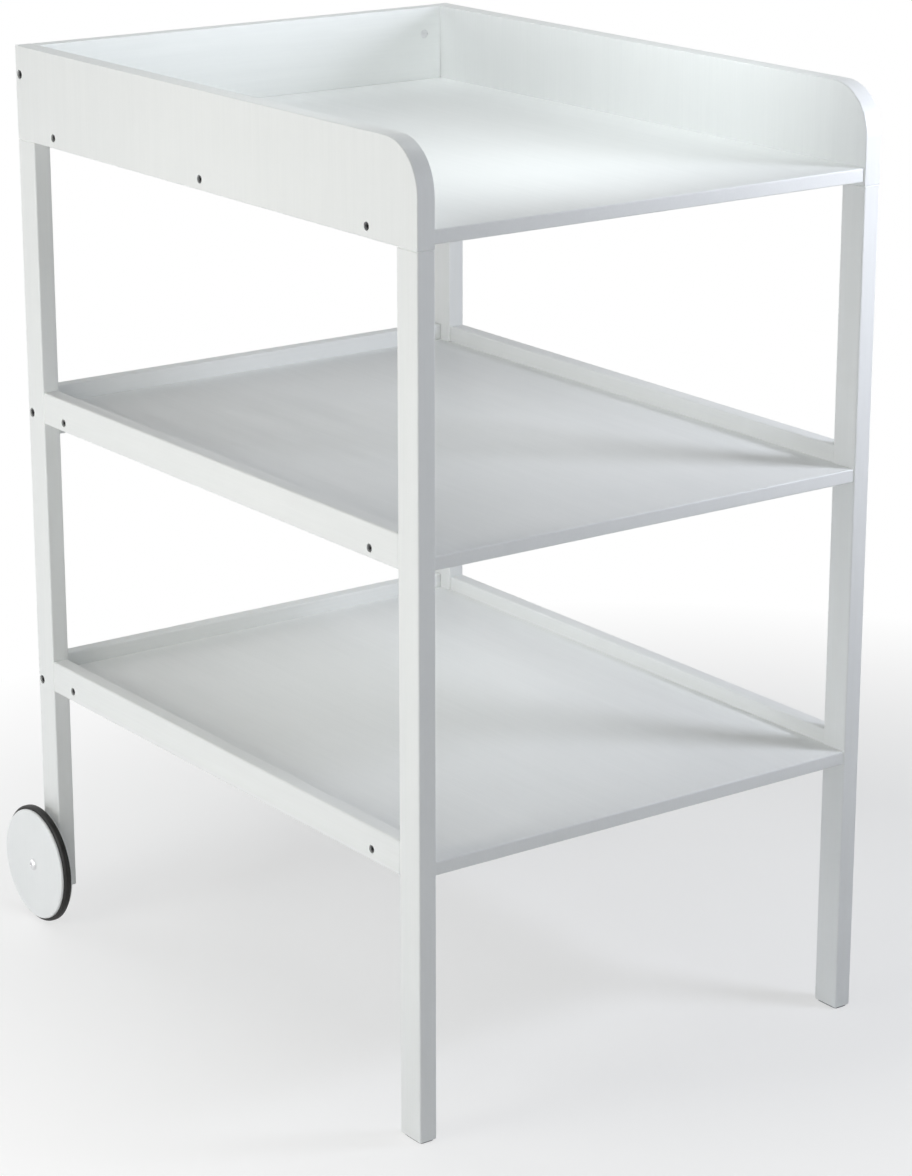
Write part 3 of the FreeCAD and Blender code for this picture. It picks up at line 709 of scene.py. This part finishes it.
def fit_wheel(side, outward):
    """Replaces one wheel's disc, tyre, bush, spacer and washer."""
    body = side + "_wheel"
    axle = axles[body]
    disc, band = side + "_wheel_disc", side + "_tyre"
    disc_place = np.array([inner_face(disc, outward), axle[1], axle[2]])
    thickness, disc_radius = extent(disc)[0], extent(disc)[1] / 2
    band_start = abs(inner_face(band, outward) - disc_place[0])
    band_end = band_start + extent(band)[0]
    groove = disc_radius - GROOVE_DEPTH
    bore = extent(side + "_wheel_bush")[1] / 2
    ring_piece(side + "_turned_disc", disc, body,
               [(0, bore), (0, disc_radius), (band_start, disc_radius), (band_start, groove),
                (band_end, groove), (band_end, disc_radius), (thickness, disc_radius), (thickness, bore)],
               [0.2 * MM, 1.6 * MM, 0.4 * MM, 0.0, 0.0, 0.4 * MM, 2.4 * MM, 0.2 * MM],
               disc_place, outward, "wheel_paint")
    band_place = np.array([inner_face(band, outward), axle[1], axle[2]])
    outline = tyre_outline(extent(band)[0], groove, axle[2])
    grid = turned(outline[:, 0], outline[:, 1], band_place, (outward, 0, 0), steps=WHEEL_STEPS)
    mesh_piece(side + "_rubber_tyre", [(grid, True)], band, body, "tyre_rubber")
    rings = [("_wheel_bush", "_sleeve", body, AXLE_RADIUS + BUSH_CLEARANCE, 0.3 * MM, "bush_plastic"),
             ("_wheel_spacer", "_thick_washer", "table", AXLE_RADIUS, 0.8 * MM, "bush_plastic"),
             ("_wheel_washer", "_thin_washer", "table", AXLE_RADIUS, 0.3 * MM, "nut_steel")]
    for ending, new_ending, ride_on, inner, edge, slot_name in rings:
        node = side + ending
        width, outer = extent(node)[0], extent(node)[1] / 2
        place = np.array([inner_face(node, outward), axle[1], axle[2]])
        ring_piece(side + new_ending, node, ride_on,
                   [(0, inner), (0, outer), (width, outer), (width, inner)],
                   [0.1 * MM, edge, edge, 0.1 * MM], place, outward, slot_name, steps=96)


for side, outward in SIDES.items():
    fit_wheel(side, outward)

# %% [markdown]
# ### Axles and their inserts
# The axle is a button-headed bolt: a low dome with a hexagon socket, a smooth bearing length for
# the bush, and a thread that screws into an insert in the leg. The insert has its own coarse thread
# outside and a hexagon at its open end for the key that drives it in.

# %% Axle bolts and inserts
AXLE_STEPS = 72
AXLE_DOME_EDGE = 0.5 * MM
AXLE_HEAD_RISE = 2.2 * MM
AXLE_SOCKET = 4.0 * MM
AXLE_SOCKET_DEPTH = 1.3 * MM
AXLE_SOCKET_CONE = 0.4 * MM
AXLE_THREAD = (1.25 * MM, 0.5 * MM)
INSERT_THREAD = (2.5 * MM, 0.8 * MM)
INSERT_KEY = (8.6 * MM, 4.0 * MM)


def button_dome(radius, rise, flats, count=14):
    """A dome over a circle: distance falls with the square of the radius from the socket to the rim."""
    out = np.linspace(flats / 2 * 1.22, radius, count)
    share = (out - out[0]) / (radius - out[0])
    return -(rise - AXLE_DOME_EDGE) * share ** 2.2, out


def fit_axle(side, outward):
    """The button-headed axle bolt, from its socket's floor to its tip."""
    node = side + "_axle_bolt"
    low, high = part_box(node)
    length = high[0] - low[0]
    radius = extent(node)[1] / 2
    axle = axles[side + "_wheel"]
    head_top = (high[0] if outward > 0 else low[0], axle[1], axle[2])
    hexagon = hexagon_radius(AXLE_SOCKET, AXLE_STEPS)
    dome_distance, dome_radius = button_dome(radius, AXLE_HEAD_RISE, AXLE_SOCKET)
    pitch, depth = AXLE_THREAD
    insert_length = extent(side + "_axle_insert")[0]
    cut = np.arange(length - insert_length, length - THREAD_STOP, pitch / 6)
    rows = [
        (-AXLE_SOCKET_DEPTH - AXLE_SOCKET_CONE, 0.0),
        (-AXLE_SOCKET_DEPTH, hexagon * SOCKET_TAPER),
        (-0.2 * MM, hexagon),
        (dome_distance, dome_radius),
        (-AXLE_HEAD_RISE + 0.1 * MM, radius),
        (-AXLE_HEAD_RISE, radius - 0.1 * MM),
        (-AXLE_HEAD_RISE, AXLE_RADIUS),
        (-cut[0], AXLE_RADIUS),
        (-cut, thread_radius(cut, AXLE_RADIUS, pitch, depth, AXLE_STEPS)),
        (-length + TIP_LENGTH, AXLE_RADIUS - depth),
        (-length, AXLE_RADIUS * 0.7),
        (-length, 0.0),
    ]
    distances, radii = stack(rows, AXLE_STEPS)
    grid = turned(distances, radii, head_top, (outward, 0, 0), steps=AXLE_STEPS)
    mesh_piece(node + "_turned", [(grid, False)], node, "table", "nut_steel")


def fit_insert(side, outward):
    """The threaded insert: coarse helix outside, a hexagon then a round bore inside."""
    node = side + "_axle_insert"
    length, outer = extent(node)[0], extent(node)[1] / 2
    axle = axles[side + "_wheel"]
    place = (inner_face(node, outward), axle[1], axle[2])
    pitch, depth = INSERT_THREAD
    flats, key_depth = INSERT_KEY
    along = np.arange(1.0 * MM, length - 1.0 * MM, pitch / 10)
    key = hexagon_radius(flats, AXLE_STEPS)
    rows = [
        (0.0, outer - 0.3 * MM),
        (0.5 * MM, outer),
        (along, thread_radius(along, outer, pitch, depth, AXLE_STEPS)),
        (length - 0.4 * MM, outer - depth),
        (length, outer - depth - 0.4 * MM),
        (length, AXLE_RADIUS + 0.2 * MM),
        (length - 0.3 * MM, AXLE_RADIUS),
        (key_depth + 0.3 * MM, AXLE_RADIUS),
        (key_depth, key),
        (0.2 * MM, key),
        (0.0, key + 0.15 * MM),
    ]
    distances, radii = stack(rows, AXLE_STEPS)
    grid = turned(distances, radii, place, (outward, 0, 0), steps=AXLE_STEPS)
    mesh_piece(node + "_threaded", [(grid, True)], node, "table", "nut_steel")


for side, outward in SIDES.items():
    fit_axle(side, outward)
    fit_insert(side, outward)

# %% [markdown]
# ## Glides under the front legs
# A glide is a thin moulded pad with a soft lower edge. Its outline is a superellipse, which is a
# rectangle with corners that a single formula rounds, and each row of its surface is that outline
# drawn in a little and set at its own height.

# %% Glide pads
GLIDE_POWER = 7.0
GLIDE_EDGE = 0.7 * MM


def superellipse(half_x, half_y, steps):
    """x = a sign(cos t) |cos t|^(2/n), y = b sign(sin t) |sin t|^(2/n)."""
    angle = turn_angles(steps)
    power = 2.0 / GLIDE_POWER
    x = half_x * np.sign(np.cos(angle)) * np.abs(np.cos(angle)) ** power
    y = half_y * np.sign(np.sin(angle)) * np.abs(np.sin(angle)) ** power
    return x, y


def fit_glide(node, steps=96):
    """Rows of outlines from a pole on top to a pole below: each is drawn in by its inset."""
    low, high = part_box(node)
    half = extent(node) / 2
    centre = middle(node)
    arc = np.radians(np.linspace(0, 90, 7))
    insets = np.concatenate([[0.0], GLIDE_EDGE * (1 - np.cos(arc))])
    heights = np.concatenate([[high[2]], low[2] + GLIDE_EDGE * (1 - np.sin(arc))])
    rings = []
    for inset, height in zip(insets, heights):
        x, y = superellipse(half[0] - inset, half[1] - inset, steps)
        rings.append(np.stack([centre[0] + x, centre[1] + y, np.full(steps, height)], axis=-1))
    top = np.broadcast_to([centre[0], centre[1], high[2]], (steps, 3))
    below = np.broadcast_to([centre[0], centre[1], low[2]], (steps, 3))
    grid = np.stack([top, *rings, below])
    mesh_piece(node + "_pad", [(grid, False)], node, "table", "glide_plastic")


for side in SIDES:
    fit_glide("front_" + side + "_glide")

# %% [markdown]
# ## Floor, light and camera
# The floor and the background are white, and only the shadow shows where the floor is. The floor's
# camera rays mix a plain white glow with the lit surface, more of it further out, so that the
# shadow fades into the background. The object is lit by lamps and sky alone.

# %% A floor that fades to white
FLOOR_HALF = 14.0
FLOOR_COLOUR = (0.90, 0.905, 0.91, 1.0)
SHADOW_MIDDLE = (0.28, -0.05, 0.0)
FADE_START = 0.45
FADE_END = 1.15
LEAST_GLOW = 0.5


def seen_rays(tree):
    """One for rays that show a surface to the camera, straight, mirrored or through glass; else zero."""
    rays = tree.nodes.new("ShaderNodeLightPath")
    seen = arithmetic(tree, "MAXIMUM", rays.outputs["Is Camera Ray"], rays.outputs["Is Glossy Ray"])
    return arithmetic(tree, "MAXIMUM", seen, rays.outputs["Is Transmission Ray"])


def white_floor():
    """A large square floor whose glow share grows with the distance from the object."""
    mesh = bpy.data.meshes.new("floor")
    corners = [(-FLOOR_HALF, -FLOOR_HALF, 0), (FLOOR_HALF, -FLOOR_HALF, 0),
               (FLOOR_HALF, FLOOR_HALF, 0), (-FLOOR_HALF, FLOOR_HALF, 0)]
    mesh.from_pydata(corners, [], [(0, 1, 2, 3)])
    floor = bpy.data.objects.new("floor", mesh)
    bpy.context.scene.collection.objects.link(floor)
    finish, tree, shader = new_finish("floor_white")
    shader.inputs["Base Color"].default_value = FLOOR_COLOUR
    shader.inputs["Roughness"].default_value = 0.6
    glow = tree.nodes.new("ShaderNodeEmission")
    place = tree.nodes.new("ShaderNodeTexCoord")
    length = tree.nodes.new("ShaderNodeVectorMath")
    length.operation = "LENGTH"
    from_shadow = tree.nodes.new("ShaderNodeVectorMath")
    from_shadow.operation = "SUBTRACT"
    from_shadow.inputs[1].default_value = SHADOW_MIDDLE
    tree.links.new(place.outputs["Object"], from_shadow.inputs[0])
    tree.links.new(from_shadow.outputs["Vector"], length.inputs[0])
    share = remap(tree, length.outputs["Value"], FADE_START, FADE_END, LEAST_GLOW, 1.0)
    seen = seen_rays(tree)
    mixer = tree.nodes.new("ShaderNodeMixShader")
    tree.links.new(arithmetic(tree, "MULTIPLY", share, seen), mixer.inputs["Fac"])
    tree.links.new(shader.outputs["BSDF"], mixer.inputs[1])
    tree.links.new(glow.outputs["Emission"], mixer.inputs[2])
    tree.links.new(mixer.outputs["Shader"], tree.nodes["Material Output"].inputs["Surface"])
    mesh.materials.append(finish)


white_floor()

# %% [markdown]
# ### Sky
# The world lights the object faintly and bluely, and shows as plain white wherever it is seen.

# %% Sky
SKY_LIGHT = 0.08
SKY_COLOUR = (0.95, 0.98, 1.0, 1.0)
world = bpy.data.worlds.new("studio")
bpy.context.scene.world = world
world.use_nodes = True
sky = world.node_tree
sky.nodes.clear()
sky_output = sky.nodes.new("ShaderNodeOutputWorld")
sky_lit = sky.nodes.new("ShaderNodeBackground")
sky_lit.inputs["Color"].default_value = SKY_COLOUR
sky_lit.inputs["Strength"].default_value = SKY_LIGHT
sky_seen = sky.nodes.new("ShaderNodeBackground")
sky_seen.inputs["Color"].default_value = (1.0, 1.0, 1.0, 1.0)
sky_mix = sky.nodes.new("ShaderNodeMixShader")
sky.links.new(seen_rays(sky), sky_mix.inputs["Fac"])
sky.links.new(sky_lit.outputs["Background"], sky_mix.inputs[1])
sky.links.new(sky_seen.outputs["Background"], sky_mix.inputs[2])
sky.links.new(sky_mix.outputs["Shader"], sky_output.inputs["Surface"])
print("sky light", SKY_LIGHT)

# %% [markdown]
# ### Lamps
# Large cool lamps on the left stand for windows, one above and one behind lift the far sides, and
# small weak ones stand for the light that bounces between the boards.

# %% Lamps


def soft_lamp(name, place, target, size, power, colour):
    """A square area lamp at a place, turned to face a target."""
    lamp = bpy.data.lights.new(name, "AREA")
    lamp.shape = "SQUARE"
    lamp.size = size
    lamp.energy = power
    lamp.color = colour
    holder = bpy.data.objects.new(name, lamp)
    bpy.context.scene.collection.objects.link(holder)
    holder.location = place
    aim = np.array(target) - np.array(place)
    yaw = math.atan2(aim[1], aim[0]) - math.pi / 2
    pitch = math.atan2(aim[2], math.hypot(aim[0], aim[1]))
    holder.rotation_euler = (math.pi / 2 + pitch, 0.0, yaw)
    holder.visible_camera = False


# Each row: name, place, target, size in metres, power in watts, colour.
LAMPS = [
    ("left_window", (-3.5, -0.2, 1.05), (0.0, 0.0, 0.55), 1.6, 23.0, (0.91, 0.95, 1.0)),
    ("left_front_window", (-2.4, -2.2, 1.4), (0.0, 0.0, 0.6), 1.5, 13.5, (0.97, 1.0, 1.0)),
    ("left_near", (-1.4, -0.12, 0.8), (0.0, 0.0, 0.6), 0.6, 2.5, (1.0, 0.93, 0.78)),
    ("left_high", (-1.5, -0.1, 1.5), (0.0, 0.1, 0.8), 0.7, 2.3, (1.0, 1.0, 0.94)),
    ("left_rear_low", (-1.3, 0.35, 0.3), (-0.3, 0.3, 0.15), 0.4, 1.5, (0.95, 0.98, 1.0)),
    ("overhead", (0.3, 0.3, 5.0), (0.1, 0.1, 0.6), 2.0, 14.0, (0.95, 0.99, 1.0)),
    ("tray_fill", (0.0, -0.3, 1.25), (0.0, 0.4, 0.95), 0.3, 1.35, (0.94, 1.0, 1.0)),
    ("tray_rear", (0.1, 0.35, 1.75), (0.1, 0.3, 0.9), 0.35, 1.6, (0.95, 0.99, 1.0)),
    ("under_top_board", (0.18, -0.1, 0.87), (0.18, -0.09, 0.5), 0.25, 0.11, (0.97, 1.0, 1.0)),
    ("under_middle_shelf", (0.05, 0.12, 0.565), (0.05, 0.13, 0.2), 0.4, 0.26, (0.97, 1.0, 1.0)),
    ("right_front_glow", (0.7, -0.9, 1.1), (0.25, -0.38, 0.8), 0.25, 6.2, (0.88, 0.91, 1.0)),
    ("back_fill", (-1.2, 3.2, 1.8), (0.0, 0.0, 0.6), 1.6, 16.0, (1.0, 1.0, 1.0)),
]
for lamp_row in LAMPS:
    soft_lamp(*lamp_row)
print("lamps:", len(LAMPS))

# %% [markdown]
# ### Camera
# A long lens from the front left, a little above the top board, keeps the upright lines calm.

# %% Camera
CAMERA_PLACE = (-2.0195, -2.8444, 1.5056)
CAMERA_HEADING = 36.0
CAMERA_DOWN = 17.33
SENSOR_WIDTH = 36.0
FOCAL_LENGTH = 104.74
CLIP_END = 100.0
lens = bpy.data.cameras.new("camera")
lens.sensor_width = SENSOR_WIDTH
lens.lens = FOCAL_LENGTH
lens.clip_end = CLIP_END
camera = bpy.data.objects.new("camera", lens)
bpy.context.scene.collection.objects.link(camera)
camera.location = CAMERA_PLACE
camera.rotation_euler = (math.radians(90.0 - CAMERA_DOWN), 0.0, -math.radians(CAMERA_HEADING))
bpy.context.scene.camera = camera
bpy.context.scene.view_settings.view_transform = "Standard"
print("camera at", CAMERA_PLACE)
